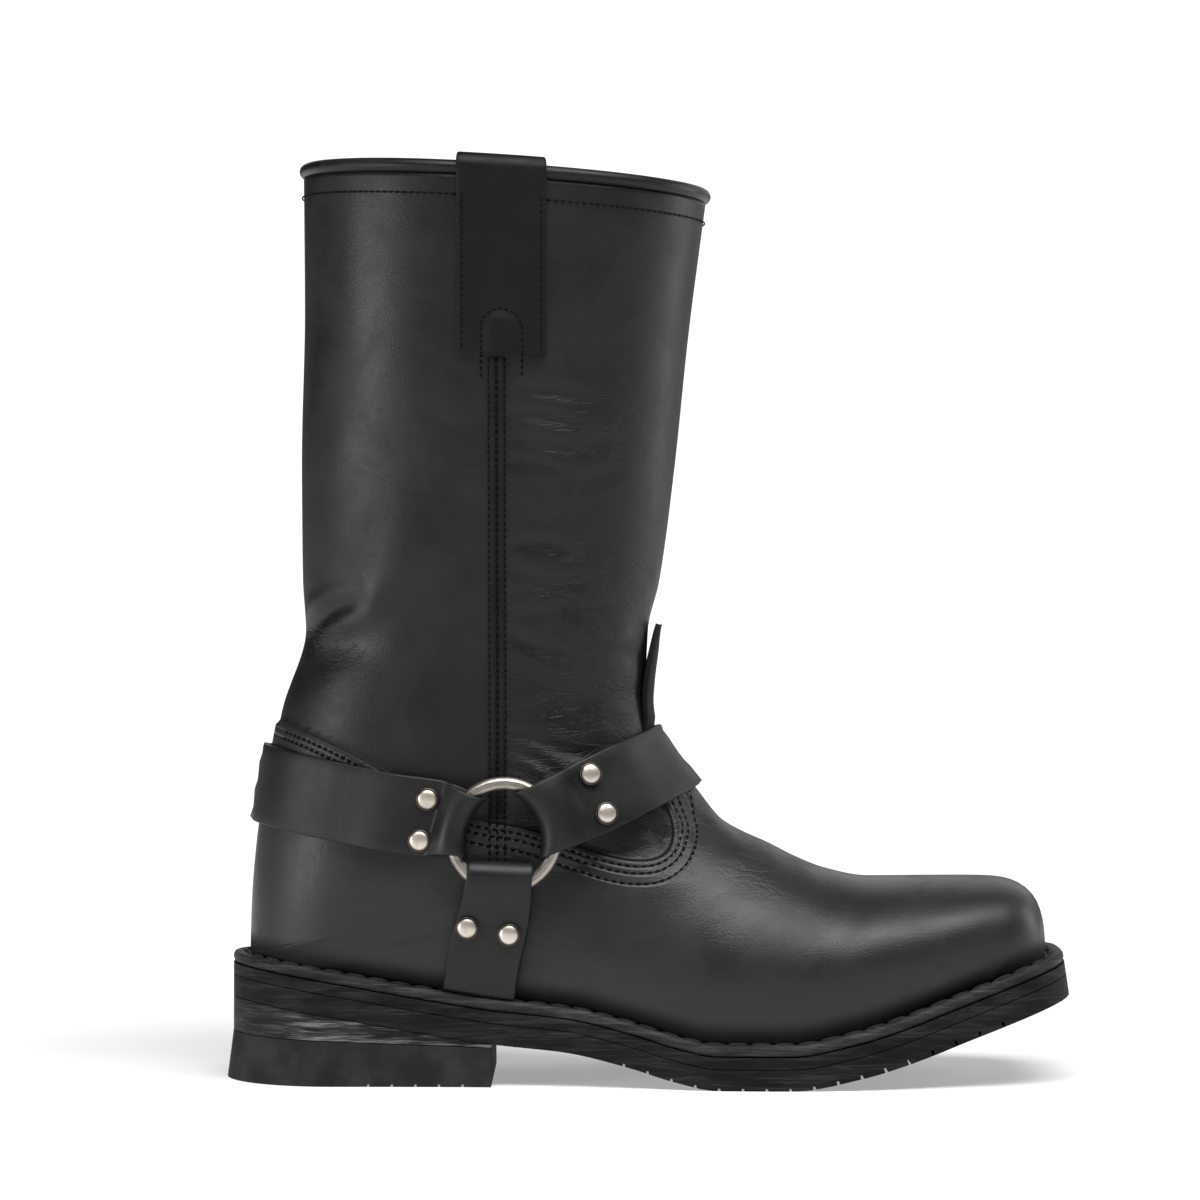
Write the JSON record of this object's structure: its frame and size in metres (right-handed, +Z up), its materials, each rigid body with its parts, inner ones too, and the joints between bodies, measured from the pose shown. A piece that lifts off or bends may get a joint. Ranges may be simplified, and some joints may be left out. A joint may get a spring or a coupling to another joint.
{
  "type": "harness boot",
  "caption": "Right pull-on boot in black leather with a square toe, a riveted strap and ring harness, side pull straps, a stitched welt and a stacked heel.",
  "frame": {"origin": "on the floor, under the middle of the boot's box", "axes": "+X towards the toe, +Z up, and +Y towards the inner side, away from the camera of the picture"},
  "size_m": [0.3056, 0.1196, 0.3319],
  "materials": {
    "upper_leather": "oiled, with a soft grey sheen",
    "strap_leather": "smooth, semi-gloss",
    "insole_board": "plain tan, matt",
    "welt_rubber": "satin, stitched",
    "sole_rubber": "matt black",
    "heel_stack": "scuffed, with pale grey streaks",
    "nickel": "antique nickel, brushed"
  },
  "bodies": {
    "root": {"upper": "upper_leather", "tongue_tab": "upper_leather", "side_seam_outer": "upper_leather", "side_seam_inner": "upper_leather", "insole": "insole_board", "welt": "welt_rubber", "midsole": "sole_rubber", "outsole": "sole_rubber", "heel_lift": "sole_rubber", "heel_wedge": "heel_stack", "collar_binding": "strap_leather", "heel_strap": "strap_leather", "instep_strap": "strap_leather", "arch_strap_outer": "strap_leather", "pull_strap_outer": "strap_leather", "ring_outer": "nickel", "rivet_heel_outer_1": "nickel", "rivet_heel_outer_2": "nickel", "rivet_instep_outer_1": "nickel", "rivet_instep_outer_2": "nickel", "rivet_arch_outer_1": "nickel", "rivet_arch_outer_2": "nickel", "arch_strap_inner": "strap_leather", "pull_strap_inner": "strap_leather", "ring_inner": "nickel", "rivet_heel_inner_1": "nickel", "rivet_heel_inner_2": "nickel", "rivet_instep_inner_1": "nickel", "rivet_instep_inner_2": "nickel", "rivet_arch_inner_1": "nickel", "rivet_arch_inner_2": "nickel"}
  },
  "joints": []
}
